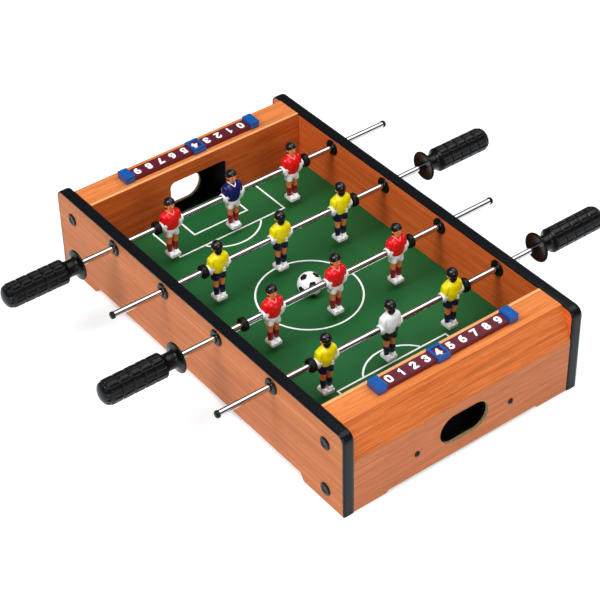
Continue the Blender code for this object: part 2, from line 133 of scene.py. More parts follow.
def plastic(name, colour, roughness, mottling, grain, bump, coat, specular):
    """Moulded or painted plastic: faint mottling, uneven gloss and a fine skin."""
    made, tree, shader = start_material(name, roughness, coat=coat, specular=specular)
    broad = noise_of(tree, (120, 120, 120), detail=2)
    stops = [(0.3, shade(colour, 1 - mottling)), (0.7, shade(colour, 1 + mottling))]
    tree.links.new(ramp_of(tree, broad, stops), shader.inputs["Base Color"])
    fine = noise_of(tree, (grain, grain, grain), detail=4, offset=3.0)
    uneven = range_of(tree, fine, roughness * 0.85, min(1.0, roughness * 1.2))
    tree.links.new(uneven, shader.inputs["Roughness"])
    bump_of(tree, shader, fine, strength=bump, distance=0.1 * MM)
    return made


WOOD_ROUGHNESS = 0.48
TONE_PLACES = (0.36, 0.5, 0.64)
PORE_TONES = ((0.32, (0.7, 0.6, 0.5)), (0.42, (1.0, 1.0, 1.0)))


def wood(name, tones, offset, along=0, contrast=1.0, inner_tones=None):
    """Printed wood-look laminate. tones run from dark to light, and the grain runs along one axis.
    The last argument holds the tones of the faces that look into the playing area, lighter than the
    rest: painted light on the same board."""
    made, tree, shader = start_material(name, WOOD_ROUGHNESS, specular=0.16)

    def grain(across, lengthwise, shift, **looks):
        scale = [across] * 3
        scale[along] = lengthwise
        return noise_of(tree, scale, offset=offset + shift, **looks)

    blend = tree.nodes.new("ShaderNodeMix")
    blend.inputs[0].default_value = 0.66
    tree.links.new(grain(38, 1.4, 0, detail=4, distortion=0.5, roughness=0.6), blend.inputs[2])
    tree.links.new(grain(260, 6, 3, detail=6, distortion=0.3, roughness=0.7), blend.inputs[3])
    tone = blend.outputs[0]
    colour = ramp_of(tree, tone, list(zip(TONE_PLACES, tones)))
    # The inner faces get lighter tones: painted light.
    if inner_tones:
        inner = ramp_of(tree, tone, list(zip(TONE_PLACES, inner_tones)))
        colour = mix_of(tree, faces_inwards(tree), colour, inner)
    fibres = grain(620, 14, 5, detail=5, distortion=0.2, roughness=0.72)
    low = 1 - 0.28 * contrast
    fibre_tone = ramp_of(tree, fibres, [(0.36, (low, low * 0.97, low * 0.9)), (0.6, (1.0, 1.0, 1.0))])
    colour = mix_of(tree, 1.0, colour, fibre_tone, "MULTIPLY")
    pore_tone = ramp_of(tree, grain(1300, 42, 9, detail=2), PORE_TONES)
    colour = mix_of(tree, 0.7 * contrast, colour, pore_tone, "MULTIPLY")
    tree.links.new(colour, shader.inputs["Base Color"])
    uneven = range_of(tree, fibres, WOOD_ROUGHNESS * 0.85, WOOD_ROUGHNESS * 1.2)
    tree.links.new(uneven, shader.inputs["Roughness"])
    bump_of(tree, shader, fibres, strength=0.12, distance=0.2 * MM)
    return made


def faces_inwards(tree):
    """1 on the inner faces of the side panels, which take the lighter painted-light tones, and 0
    elsewhere.
    """
    coords = tree.nodes.new("ShaderNodeTexCoord")
    parts = tree.nodes.new("ShaderNodeSeparateXYZ")
    size = tree.nodes.new("ShaderNodeMath")
    size.operation = "ABSOLUTE"
    inside = tree.nodes.new("ShaderNodeMath")
    inside.operation = "LESS_THAN"
    inside.inputs[1].default_value = WIDTH / 2 - PANEL_THICK / 2
    tree.links.new(coords.outputs["Object"], parts.inputs["Vector"])
    tree.links.new(parts.outputs["X"], size.inputs[0])
    tree.links.new(size.outputs[0], inside.inputs[0])
    return inside.outputs[0]


def raw_board(name):
    """The cut edge of fibreboard: tan, matt and speckled."""
    made, tree, shader = start_material(name, 0.85, specular=0.2)
    specks = noise_of(tree, (1500, 1500, 1500))
    stops = [(0.36, (0.16, 0.09, 0.03)), (0.5, (0.5, 0.32, 0.14)), (0.66, (0.74, 0.54, 0.3))]
    tree.links.new(ramp_of(tree, specks, stops), shader.inputs["Base Color"])
    bump_of(tree, shader, specks, strength=0.5, distance=0.4 * MM)
    return made


def chrome(name):
    made, tree, shader = start_material(name, 0.08, metallic=1.0)
    streaks = noise_of(tree, (14, 1400, 1400))
    stops = [(0.3, (0.56, 0.56, 0.58)), (0.7, (0.64, 0.64, 0.66))]
    tree.links.new(ramp_of(tree, streaks, stops), shader.inputs["Base Color"])
    tree.links.new(range_of(tree, streaks, 0.05, 0.11), shader.inputs["Roughness"])
    return made


def pitch_paint(name):
    made, tree, shader = start_material(name, 0.5, specular=0.2)
    broad = noise_of(tree, (9, 5, 9), detail=4, distortion=0.4)
    fine = noise_of(tree, (1100, 1100, 1100), offset=4.0)
    base = ramp_of(tree, broad, [(0.3, (0.009, 0.092, 0.022)), (0.7, (0.016, 0.135, 0.035))])
    speckle = ramp_of(tree, fine, [(0.35, (0.86, 0.86, 0.86)), (0.65, (1.0, 1.0, 1.0))])
    tree.links.new(mix_of(tree, 1.0, base, speckle, "MULTIPLY"), shader.inputs["Base Color"])
    tree.links.new(range_of(tree, fine, 0.44, 0.56), shader.inputs["Roughness"])
    bump_of(tree, shader, fine, strength=0.1, distance=0.1 * MM)
    return made


SIDE_TONES = ((0.5, 0.145, 0.042), (0.6, 0.185, 0.06), (0.68, 0.225, 0.08))
END_TONES = ((0.48, 0.14, 0.045), (0.57, 0.175, 0.062), (0.64, 0.21, 0.08))
SLANT_TONES = ((0.6, 0.125, 0.022), (0.72, 0.18, 0.038), (0.8, 0.235, 0.06))
LEDGE_TONES = ((0.7, 0.19, 0.045), (0.78, 0.235, 0.062), (0.84, 0.29, 0.088))
WALL_TONES = ((0.46, 0.07, 0.011), (0.6, 0.11, 0.019), (0.72, 0.155, 0.032))
# Lighter tones for the inner faces of the side panels, the same board as outside: painted light on the
# faces that look into the table.
LIT_INNER_TONES = ((0.62, 0.105, 0.02), (0.78, 0.155, 0.032), (0.88, 0.2, 0.048))

WOODS = {
    "side_wood": dict(tones=SIDE_TONES, along=1, offset=1.0, contrast=0.8, inner_tones=LIT_INNER_TONES),
    "end_wood": dict(tones=END_TONES, offset=2.0),
    "slant_wood": dict(tones=SLANT_TONES, offset=7.0, contrast=1.3),
    "ledge_wood": dict(tones=LEDGE_TONES, offset=3.0),
    "wall_wood": dict(tones=WALL_TONES, offset=4.0),
}
# Colour, roughness, mottling, grain per metre, depth of the grain, clear coat and specular.
PLASTICS = {
    # A pale orange for the goal walls' top faces, a thin light line beside the ledge.
    "pale_top_edge": ((0.8, 0.36, 0.14), 0.6, 0.1, 1500, 0.4, 0.0, 0.4),
    "edge_band": ((0.004, 0.005, 0.007), 0.24, 0.1, 400, 0.1, 0.0, 0.16),
    "marking_white": ((0.93, 0.96, 0.93), 0.45, 0.02, 900, 0.15, 0.0, 0.4),
    "black_plastic": ((0.003, 0.003, 0.0035), 0.24, 0.1, 700, 0.2, 0.0, 0.2),
    "pocket_plastic": ((0.003, 0.003, 0.003), 0.7, 0.1, 700, 0.3, 0.0, 0.1),
    "rubber": ((0.003, 0.003, 0.004), 0.42, 0.1, 1200, 0.3, 0.0, 0.2),
    "score_maroon": ((0.11, 0.006, 0.018), 0.4, 0.08, 900, 0.15, 0.0, 0.4),
    "score_blue": ((0.004, 0.085, 0.34), 0.24, 0.05, 400, 0.04, 0.1, 0.4),
    "digit_white": ((0.94, 0.92, 0.93), 0.4, 0.02, 900, 0.15, 0.0, 0.4),
    "ball_white": ((0.92, 0.93, 0.95), 0.35, 0.03, 1400, 0.25, 0.0, 0.4),
    "ball_black": ((0.006, 0.006, 0.008), 0.35, 0.05, 1400, 0.25, 0.0, 0.4),
    "hair": ((0.004, 0.004, 0.006), 0.25, 0.1, 500, 0.2, 0.0, 0.45),
    "mouth": ((0.35, 0.03, 0.02), 0.4, 0.05, 900, 0.15, 0.0, 0.4),
}
# The paints of the men share their grain: colour, roughness, mottling and clear coat.
KIT_PAINTS = {
    "red": ((0.84, 0.006, 0.01), 0.26, 0.05, 0.2),
    "dark_red": ((0.33, 0.004, 0.012), 0.35, 0.06, 0.2),
    "pale_red": ((0.86, 0.3, 0.26), 0.35, 0.05, 0.2),
    "yellow": ((0.92, 0.78, 0.0), 0.3, 0.05, 0.25),
    "pale_yellow": ((0.95, 0.88, 0.3), 0.35, 0.05, 0.2),
    "blue": ((0.008, 0.008, 0.12), 0.28, 0.06, 0.1),
    "navy": ((0.004, 0.005, 0.04), 0.32, 0.08, 0.05),
    "black": ((0.006, 0.006, 0.008), 0.3, 0.08, 0.25),
    "white": ((0.93, 0.94, 0.95), 0.3, 0.02, 0.2),
    "skin": ((0.95, 0.3, 0.09), 0.4, 0.05, 0.1),
}


def make_paints():
    made = {"raw_board": raw_board("raw_board"), "chrome": chrome("chrome")}
    made["pitch_green"] = pitch_paint("pitch_green")
    for name, looks in WOODS.items():
        made[name] = wood(name, **looks)
    for name, looks in PLASTICS.items():
        made[name] = plastic(name, *looks)
    for name, (colour, roughness, mottling, coat) in KIT_PAINTS.items():
        made[name] = plastic(name, colour, roughness, mottling, 500, 0.15, coat, 0.4)
    return made


PAINTS = make_paints()


# Shape helpers --------------------


def finish_mesh(bm, name, smooth_angle=35.0):
    bmesh.ops.recalc_face_normals(bm, faces=bm.faces)
    mesh = bpy.data.meshes.new(name)
    bm.to_mesh(mesh)
    bm.free()
    mesh.shade_smooth()
    mesh.set_sharp_from_angle(angle=math.radians(smooth_angle))
    return mesh


def new_object(name, data):
    made = bpy.data.objects.new(name, data)
    bpy.context.scene.collection.objects.link(made)
    return made


def place(name, mesh, body, paints, replaced=(), matrix=None):
    """Adds a piece to the scene, painted, in place and riding on its body."""
    made = new_object(name, mesh)
    if not mesh.materials:
        for paint in paints:
            mesh.materials.append(PAINTS[paint])
    if matrix is not None:
        made.matrix_world = matrix
    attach(made, body)
    if replaced:
        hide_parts(*replaced)
    return made


def angles_round(sides):
    return [2 * math.pi * step / sides for step in range(sides)]


def ring_round_x(bm, x, radius, sides):
    """Points round the X axis, or a single point where the radius is nothing."""
    if radius < 1e-7:
        return [bm.verts.new((x, 0, 0))]
    angles = angles_round(sides)
    return [bm.verts.new((x, radius * math.sin(angle), radius * math.cos(angle))) for angle in angles]


def turned(name, outline, closed=True):
    """The mesh of an (x, radius) outline, in metres, spun about the X axis."""
    bm = bmesh.new()
    join_all(bm, [ring_round_x(bm, x, radius, 48) for x, radius in outline], closed=closed)
    return finish_mesh(bm, name)


def join_all(bm, rings, material=0, closed=False, capped=False):
    """Faces from each ring to the next, and back to the first if closed or over the ends if capped."""
    for low, high in zip(rings, rings[1:] + rings[:1] if closed else rings[1:]):
        join_rings(bm, low, high, material)
    if capped:
        bm.faces.new(rings[0][::-1]).material_index = material
        bm.faces.new(rings[-1]).material_index = material


def join_rings(bm, low, high, material=0):
    """Faces between two rings of as many points each. Either can be a single point."""
    count = max(len(low), len(high))
    for step in range(count):
        after = (step + 1) % count
        corners = []
        for ring, order in ((low, (step, after)), (high, (after, step))):
            corners += [ring[0]] if len(ring) == 1 else [ring[at] for at in order]
        if len(corners) > 2:
            bm.faces.new(corners).material_index = material


def middle_of(node):
    low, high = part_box(node)
    return (low + high) / 2


def soften(piece, width, segments=2, angle=30):
    """Rounds the sharp edges of a piece, or of a CAD node that stays."""
    bevel = piece.modifiers.new("soft_edges", "BEVEL")
    bevel.width = width
    bevel.segments = segments
    bevel.limit_method = "ANGLE"
    bevel.angle_limit = math.radians(angle)


def repaint(node, paint):
    for socket in NODES[node].material_slots:
        socket.material = PAINTS[paint]


# The strokes of each numeral: its kind, then its points on a grid 6 wide and 10 high. A smooth stroke
# is a curve through its points, a loop is a smooth one that closes, and a straight one has corners.
NUMERALS = (
    (("loop", (0, 5), (0.6, 9), (3, 10), (5.4, 9), (6, 5), (5.4, 1), (3, 0), (0.6, 1)),),
    (("straight", (1.4, 7.8), (3.6, 10), (3.6, 0)),),
    (
        ("smooth", (0.1, 7.6), (1.0, 9.4), (3, 10), (5.2, 9.2), (5.7, 7.2), (4.4, 4.8), (0.2, 0.1)),
        ("straight", (0.2, 0), (6, 0)),
    ),
    (
        ("smooth", (0.2, 8.2), (1.2, 9.6), (3, 10), (5.1, 9.2), (5.4, 7.3), (4.3, 5.7), (2.4, 5.3)),
        ("smooth", (2.4, 5.3), (4.9, 4.7), (5.8, 2.7), (4.9, 0.7), (2.8, 0), (0.9, 0.6), (0, 2)),
    ),
    (("straight", (4.4, 0), (4.4, 10)), ("straight", (4.2, 9.8), (0.2, 3), (6.2, 3))),
    (
        ("straight", (5.4, 10), (1.2, 10), (0.6, 5.4)),
        (
            "smooth", (0.6, 5.4), (2.8, 6.2), (5, 5.5), (5.9, 3.2), (4.9, 0.9),
            (2.8, 0), (0.8, 0.5), (0, 1.8),
        ),
    ),
    (
        (
            "loop", (0.2, 3.1), (0.9, 5.3), (3, 6.2), (5.2, 5.3), (5.9, 3.1),
            (5.1, 0.8), (3, 0), (0.9, 0.8),
        ),
        ("smooth", (0.2, 3.1), (0.5, 6.2), (1.8, 9), (4.6, 10)),
    ),
    (("straight", (0, 10), (5.9, 10), (2, 0)),),
    (
        (
            "loop", (0.6, 7.6), (1.2, 9.4), (3, 10), (4.8, 9.4), (5.4, 7.6),
            (4.7, 5.8), (3, 5.3), (1.3, 5.8),
        ),
        (
            "loop", (0.1, 2.7), (0.9, 4.7), (3, 5.3), (5.1, 4.7), (5.9, 2.7),
            (5.1, 0.7), (3, 0), (0.9, 0.7),
        ),
    ),
    (
        (
            "loop", (5.8, 6.9), (5.1, 4.7), (3, 3.8), (0.8, 4.7), (0.1, 6.9),
            (0.9, 9.2), (3, 10), (5.1, 9.2),
        ),
        ("smooth", (5.8, 6.9), (5.5, 3.8), (4.2, 1), (1.4, 0)),
    ),
)


def cubic(values, t):
    """The smooth curve through four values, from the second at t = 0 to the third at t = 1."""
    a, b, c, d = values
    square = (2 * a - 5 * b + 4 * c - d) * t**2
    cube = (3 * b - a - 3 * c + d) * t**3
    return 0.5 * (2 * b + (c - a) * t + square + cube)


def stroke_points(kind, corners):
    """The path through a stroke's points. A loop doesn't repeat its first point."""
    points = [Vector(corner) for corner in corners]
    if kind == "straight":
        return points
    count = len(points)
    closed = kind == "loop"
    made = []
    for index in range(count if closed else count - 1):
        picks = []
        for step in (-1, 0, 1, 2):
            at = index + step
            picks.append(points[at % count] if closed else points[min(max(at, 0), count - 1)])
        for step in range(5):
            made.append(Vector([cubic(values, step / 5) for values in zip(*picks)]))
    return made if closed else made + [points[-1]]


def side_vectors(path, closed):
    """The sideways direction at each point of a path, longer where the path turns."""
    count = len(path)
    made = []
    for index, point in enumerate(path):
        before = (point - path[index - 1]).normalized() if closed or index else None
        has_next = closed or index < count - 1
        after = (path[(index + 1) % count] - point).normalized() if has_next else None
        before, after = before or after, after or before
        side = Vector((-(before + after).y, (before + after).x)).normalized()
        made.append(side / max(0.55, side.dot(Vector((-after.y, after.x)))))
    return made


def end_arc(tip, side, radius, steps=8):
    """The points round the end of a stroke, from its right side to its left."""
    side = side.normalized()
    forward = Vector((side.y, -side.x))
    angles = [math.pi * step / steps for step in range(1, steps)]
    return [tip + radius * (-math.cos(angle) * side + math.sin(angle) * forward) for angle in angles]


def add_stroke(bm, path, closed, radius, rise):
    """A flat-topped stroke with rounded ends and slightly sloping sides."""
    sides = side_vectors(path, closed)
    layers = []
    for height, grow in ((-0.3, 1.0), (0.7, 1.0), (1.0, 0.9)):
        reach = radius * grow
        rows = [
            [point + side * reach for point, side in zip(path, sides)],
            [point - side * reach for point, side in zip(path, sides)],
        ]
        if not closed:
            rows.append(end_arc(path[-1], sides[-1], reach))
            rows.append(end_arc(path[0], -sides[0], reach))
        layers.append([[bm.verts.new((p.x, p.y, height * rise)) for p in row] for row in rows])
    if closed:
        for side in (0, 1):
            join_all(bm, [layer[side] for layer in layers])
    else:
        join_all(bm, [around(layer) for layer in layers])
    for left, right, *ends in (layers[0], layers[-1]):
        count = len(path)
        for index in range(count if closed else count - 1):
            after = (index + 1) % count
            bm.faces.new((left[index], left[after], right[after], right[index]))
        tips = ((left[-1], right[-1]), (right[0], left[0]))
        for (tip_left, tip_right), arc_points in zip(tips, ends):
            bm.faces.new([tip_right, *arc_points, tip_left])


def around(rows):
    """The outline of an open stroke, from its two sides and its two rounded ends."""
    left, right, finish, start = rows
    return left + finish[::-1] + right[::-1] + start[::-1]


def glyph(digit, height, width, stroke, rise):
    """A numeral in rounded strokes as a mesh lying on the XY plane, centred. Each stroke is a
    little higher than the one before, where they cross."""
    bm = bmesh.new()
    scale = Vector(((width - stroke) / 6, (height - stroke) / 10))
    for index, (kind, *corners) in enumerate(NUMERALS[digit]):
        points = stroke_points(kind, corners)
        path = [Vector(((p.x - 3) * scale.x, (p.y - 5) * scale.y)) for p in points]
        add_stroke(bm, path, kind == "loop", stroke / 2, rise * (1 + 0.1 * index))
    return finish_mesh(bm, f"numeral_{digit}", 60)


def plate_with_hole(outline, hole, front, back, end, raw_sides):
    """A board in the XZ plane. Its faces take material 0, its cut edges 1 where raw_sides says so."""
    bm = bmesh.new()
    edges = []
    for loop in (outline, hole):
        if not loop:
            continue
        verts = [bm.verts.new((x, front, z)) for x, z in loop]
        edges += [bm.edges.new(pair) for pair in zip(verts, verts[1:] + verts[:1])]
    bmesh.ops.triangle_fill(bm, use_beauty=True, edges=edges)
    faces = bm.faces[:]
    pushed = bmesh.ops.extrude_face_region(bm, geom=faces)
    moved = [item for item in pushed["geom"] if isinstance(item, bmesh.types.BMVert)]
    bmesh.ops.translate(bm, verts=moved, vec=(0, back - front, 0))
    bmesh.ops.recalc_face_normals(bm, faces=bm.faces)
    for face in bm.faces:
        sideways = abs(face.normal.y) < 0.5
        inwards = face.normal.y * end < -0.5
        face.material_index = 1 if sideways and raw_sides(face) else (2 if inwards else 0)
    return bm


# Cabinet --------------------


def band_path():
    """Points along the panel's outer edge with their outward directions, as (y, z)."""
    centre_y = LENGTH / 2 - CORNER_RADIUS
    centre_z = HEIGHT - CORNER_RADIUS
    points = [((-LENGTH / 2, 0), (-1, 0))]
    for side, start in ((-1, math.pi), (1, math.pi / 2)):
        for step in range(17):
            angle = start - math.pi / 2 * step / 16
            away = (math.cos(angle), math.sin(angle))
            at = (side * centre_y + CORNER_RADIUS * away[0], centre_z + CORNER_RADIUS * away[1])
            points.append((at, away))
    points.append(((LENGTH / 2, 0), (1, 0)))
    return points


def make_edge_band(name, side):
    """A T-moulding strip: flat inside, gently domed outside."""
    middle = side * (WIDTH / 2 - PANEL_THICK / 2)
    half = PANEL_THICK / 2
    dome = [-1 + 2 * step / 12 for step in range(13)]
    section = [(across, BAND_DOME * abs(across) ** 5) for across in dome]
    section = [(-1.0, BAND_THICK), *section, (1.0, BAND_THICK)]
    bm = bmesh.new()
    rings = []
    for (y, z), (away_y, away_z) in band_path():
        ring = []
        for across, depth in section:
            spot = (middle + half * across, y - away_y * depth, z - away_z * depth)
            ring.append(bm.verts.new(spot))
        rings.append(ring)
    join_all(bm, rings, capped=True)
    mesh = finish_mesh(bm, f"{name}_edge_band_look", 50)
    place(f"{name}_edge_band_look", mesh, TABLE, ["edge_band"], [f"{name}_edge_band"])


CAP_Y = 225.2 * MM
CAP_LEVELS = {"upper": 79.3 * MM, "lower": 18 * MM}
CAP_RADIUS = 7.5
# The x and radius of each point, in millimetres outwards from the panel.
CAP_OUTLINE = (
    (0, 0), (0, CAP_RADIUS - 0.3), (0.5, CAP_RADIUS), (1.0, CAP_RADIUS - 0.25), (1.6, CAP_RADIUS - 1.3),
    (1.9, CAP_RADIUS - 2.8), (1.75, 3.6), (1.2, 3.1), (1.2, 0),
)


def make_screw_caps(name, side):
    outline = [(side * (WIDTH / 2 + x * MM), radius * MM) for x, radius in CAP_OUTLINE]
    mesh = turned(f"{name}_screw_cap", outline, closed=False)
    mesh.materials.append(PAINTS["black_plastic"])
    for end_name, end in (("near", -1), ("far", 1)):
        for level, z in CAP_LEVELS.items():
            spot = Matrix.Translation((0, end * CAP_Y, z))
            label = f"{name}_{end_name}_{level}_screw_cap"
            place(label, mesh, TABLE, [], matrix=spot)


FOOT_HALF = 100 * MM
FOOT_LIFT = 3 * MM
TOP_SLOPE = 1.2 * MM
SOFT_EDGE = 0.35 * MM
BOARD_SCREW_X = 61.5 * MM
BOARD_SCREW_Z = 30.7 * MM
HOLE_HALF_X = 31.75 * MM
HOLE_HALF_Z = 18.4 * MM
HOLE_Z = 36.5 * MM


def stadium(half_x, half_z, centre_z, steps=20):
    """A slot with round ends, as (x, z) points."""
    points = []
    for side, start in ((1, -math.pi / 2), (-1, math.pi / 2)):
        for step in range(steps + 1):
            angle = start + math.pi * step / steps
            x = side * (half_x - half_z) + half_z * math.cos(angle)
            points.append((x, centre_z + half_z * math.sin(angle)))
    return points


def make_end_board(name, end):
    low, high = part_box(f"{name}_end_board")
    outer = high.y if end > 0 else low.y
    inner = low.y if end > 0 else high.y
    recess = FOOT_HALF - FOOT_LIFT
    outline = [(low.x, low.z), (-FOOT_HALF, low.z), (-recess, FOOT_LIFT), (recess, FOOT_LIFT)]
    outline += [(FOOT_HALF, low.z), (high.x, low.z), (high.x, high.z), (low.x, high.z)]
    hole = stadium(HOLE_HALF_X, HOLE_HALF_Z, HOLE_Z)
    bm = plate_with_hole(outline, hole, outer, inner, end, lambda face: True)
    for vert in bm.verts:
        if abs(vert.co.y - inner) < 1e-6 and vert.co.z > high.z - 1e-6:
            vert.co.z = high.z - TOP_SLOPE
    mesh = finish_mesh(bm, f"{name}_end_board_look", 30)
    paints = ["end_wood", "raw_board", "raw_board"]
    board = place(f"{name}_end_board_look", mesh, TABLE, paints, [f"{name}_end_board"])
    soften(board, SOFT_EDGE, angle=40)
    for side_name, side in (("left", -1), ("right", 1)):
        make_board_screw(f"{name}_{side_name}_board_screw", side * BOARD_SCREW_X, outer, end)


def make_board_screw(name, x, y, end):
    """A black pan-head screw with a cross recess."""
    bm = bmesh.new()
    rings = []
    outline = [(0, 3.4), (0.5, 3.5), (1.0, 3.1), (1.35, 2.2), (1.45, 1.4), (0.6, 0.9)]
    for out, radius in outline:
        ring = []
        for angle in angles_round(32):
            cross = 1.0
            if radius < 2.0:
                cross = 0.55 + 0.6 * abs(math.cos(2 * angle)) ** 3
            reach = radius * cross * MM
            spot = (reach * math.cos(angle), end * out * MM, reach * math.sin(angle))
            ring.append(bm.verts.new(spot))
        rings.append(ring)
    join_all(bm, rings, capped=True)
    mesh = finish_mesh(bm, name)
    spot = Matrix.Translation((x, y, BOARD_SCREW_Z))
    place(name, mesh, TABLE, ["black_plastic"], matrix=spot)


GOAL_HALF = 38.7 * MM
GOAL_TOP_Z = 87.2 * MM
GOAL_CORNER = 7 * MM


def make_goal_wall(name, end):
    low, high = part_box(f"{name}_goal_wall")
    outer = low.y if end > 0 else high.y
    inner = high.y if end > 0 else low.y
    outline = [(low.x, low.z), (low.x, high.z), (high.x, high.z), (high.x, low.z)]
    outline.append((GOAL_HALF, low.z))
    for side, start in ((1, 0), (-1, math.pi / 2)):
        for step in range(13):
            angle = start + math.pi / 2 * step / 12
            x = side * (GOAL_HALF - GOAL_CORNER) + GOAL_CORNER * math.cos(angle)
            outline.append((x, GOAL_TOP_Z - GOAL_CORNER + GOAL_CORNER * math.sin(angle)))
    outline.append((-GOAL_HALF, low.z))

    def raw(face):
        return face.calc_center_median().z > high.z - 0.1 * MM

    bm = plate_with_hole(outline, [], outer, inner, -end, raw)
    mesh = finish_mesh(bm, f"{name}_goal_wall_look", 30)
    paints = ["wall_wood", "pale_top_edge", "wall_wood"]
    wall = place(f"{name}_goal_wall_look", mesh, TABLE, paints, [f"{name}_goal_wall"])
    soften(wall, 0.25 * MM, angle=40)


LINE = 2.1 * MM
LINE_TOP = 0.12 * MM
LINE_BOTTOM = 0.02 * MM
LINE_GAP = 0.05 * MM
CIRCLE_RADIUS = 59.5 * MM
GOAL_LINE_Y = 202.5 * MM
# The half width of each box at the goals, and how far its front line is from the middle.
GOAL_BOXES = ((71.8 * MM, 140.3 * MM), (36.4 * MM, 163.4 * MM))
D_RADIUS = 46 * MM
D_CENTRE_Y = 165 * MM
D_START_Y = 138.9 * MM


def ribbon(bm, points, closed=False):
    """A flat painted line along points on the pitch, with mitred corners."""
    rings = []
    count = len(points)
    for index, at in enumerate(points):
        before = points[index - 1] if closed or index else None
        after = points[(index + 1) % count] if closed or index < count - 1 else None
        towards = [(at - before).normalized()] if before is not None else []
        towards += [(after - at).normalized()] if after is not None else []
        along = sum(towards, Vector((0, 0))).normalized()
        across = Vector((-along.y, along.x))
        widen = 1 / max(0.4, across.dot(Vector((-towards[0].y, towards[0].x))))
        ring = []
        for side, rise in ((1, LINE_BOTTOM), (1, LINE_TOP), (-1, LINE_TOP), (-1, LINE_BOTTOM)):
            spot = at + side * across * LINE / 2 * widen
            ring.append(bm.verts.new((spot.x, spot.y, PITCH_Z + rise)))
        rings.append(ring)
    join_all(bm, rings, closed=closed, capped=not closed)


def arc(radius, start, finish, steps):
    angles = [start + (finish - start) * step / steps for step in range(steps + 1)]
    return [Vector((radius * math.cos(angle), radius * math.sin(angle))) for angle in angles]


PITCH_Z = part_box("playfield")[1].z


def make_markings():
    bm = bmesh.new()
    reach = INNER_X - 0.2 * MM
    circle = CIRCLE_RADIUS - LINE / 2
    inside = circle - LINE / 2 - LINE_GAP
    outside = circle + LINE / 2 + LINE_GAP
    ribbon(bm, arc(circle, 0, 2 * math.pi, 128)[:-1], closed=True)
    ribbon(bm, [Vector((-inside, 0)), Vector((inside, 0))])
    for side in (-1, 1):
        ribbon(bm, [Vector((side * outside, 0)), Vector((side * reach, 0))])
    for end in (-1, 1):
        wall = end * GOAL_LINE_Y
        for half, front in GOAL_BOXES:
            corners = [(-half, wall), (-half, end * front), (half, end * front), (half, wall)]
            ribbon(bm, [Vector(corner) for corner in corners])
        lift = math.asin((D_CENTRE_Y - D_START_Y) / D_RADIUS)
        points = arc(D_RADIUS, -math.pi + lift, -lift, 48)
        ribbon(bm, [Vector((p.x, end * (D_CENTRE_Y + p.y))) for p in points])
    mesh = finish_mesh(bm, "pitch_markings", 20)
    place("pitch_markings", mesh, TABLE, ["marking_white"])


def make_cabinet():
    for name, side in (("left", -1), ("right", 1)):
        repaint(f"{name}_side_panel", "side_wood")
        make_edge_band(name, side)
        make_screw_caps(name, side)
    repaint("playfield", "pitch_green")
    make_markings()
    for name, end in (("near", -1), ("far", 1)):
        make_end_board(name, end)
        make_goal_wall(name, end)
        repaint(f"{name}_slant_board", "slant_wood")
        repaint(f"{name}_top_ledge", "ledge_wood")
        repaint(f"{name}_goal_pocket", "pocket_plastic")
        for part in ("slant_board", "top_ledge"):
            soften(NODES[f"{name}_{part}"], SOFT_EDGE)


# Score counters --------------------

DIGIT_PITCH = 15.66 * MM


def make_score_counter(name, end):
    repaint(f"{name}_score_bar", "score_maroon")
    soften(NODES[f"{name}_score_bar"], 0.4 * MM)
    for part in ("cap_left", "cap_right", "marker"):
        repaint(f"{name}_score_{part}", "score_blue")
        soften(NODES[f"{name}_score_{part}"], 0.5 * MM, 3)
    y = middle_of(f"{name}_score_bar").y
    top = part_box(f"{name}_score_bar")[1].z
    turn = 0 if end < 0 else math.pi
    for digit in range(10):
        mesh = glyph(digit, height=10.8 * MM, width=7.6 * MM, stroke=2.5 * MM, rise=0.25 * MM)
        x = -end * (digit - 4.5) * DIGIT_PITCH
        spot = Matrix.Translation((x, y, top)) @ Matrix.Rotation(turn, 4, "Z")
        place(f"{name}_score_digit_{digit}", mesh, TABLE, ["digit_white"], matrix=spot)


# Rods --------------------

# The plug in a rod's free end, in millimetres outwards from that end.
PLUG_OUTLINE = (
    (-9, 0), (-9, 2.6), (0, 2.6), (0, 3.7), (0.4, 4.1), (2.6, 4.1), (3.6, 3.4), (4.1, 2.2), (4.3, 0),
)
HANDLE_SIDES = {1: -1, 2: 1, 3: -1, 4: 1}
KEEPERS = (1, 4)
HANDLE_START = 200.5 * MM
# The flare and the neck of a handle in millimetres: along it from its inner end, and the radius.
HANDLE_OUTLINE = (
    (2.4, 3.9), (1.6, 8.0), (0.6, 13.0), (0, 16.0), (0.1, 16.8), (0.6, 17.2), (1.2, 17.2),
    (1.7, 16.9), (2.1, 16.0), (2.5, 14.2), (3.0, 12.2), (3.7, 10.6), (4.8, 9.7), (6.4, 9.35),
    (12.5, 9.35), (15.2, 9.6), (16.6, 10.4), (17.6, 11.9), (18.6, 13.2), (19.6, 13.8),
)
GRIP_RADIUS = 13.95
GRIP_START = 20.2
GRIP_RINGS = (19.6, 32.5, 45.5, 58.5, 71.5, 85.2)
GRIP_ROWS = 12
GROOVE_WIDTH = 0.8
GROOVE_DEPTH = 1.3
PAD_FLATNESS = 0.7
FADE_END = 91.0
FADE_LENGTH = 4.0
DOME_START = 82.0
DOME_END = 92.0
FINE_START = 84.0


def groove(distance):
    return math.exp(-((distance / GROOVE_WIDTH) ** 2))


def grip_radius(x, angle):
    """The waffle of pads: ring grooves and lengthwise grooves around the grip."""
    radius = GRIP_RADIUS
    if x > DOME_START:
        reach = min(1.0, (x - DOME_START) / (DOME_END - DOME_START))
        radius *= math.sqrt(max(0.0, 1 - reach**2.2))
    row = (angle / (2 * math.pi) * GRIP_ROWS) % 1.0
    half_row = math.pi / GRIP_ROWS
    facet = math.cos(half_row) / math.cos((row - 0.5) * 2 * half_row)
    ring_cut = max(groove(x - ring) for ring in GRIP_RINGS)
    row_cut = groove(min(row, 1 - row) * 2 * half_row * GRIP_RADIUS)
    fade = min(1.0, max(0.0, (FADE_END - x) / FADE_LENGTH))
    flat = 1 + (facet - 1) * PAD_FLATNESS * fade
    return radius * flat - max(ring_cut, row_cut) * fade * GROOVE_DEPTH


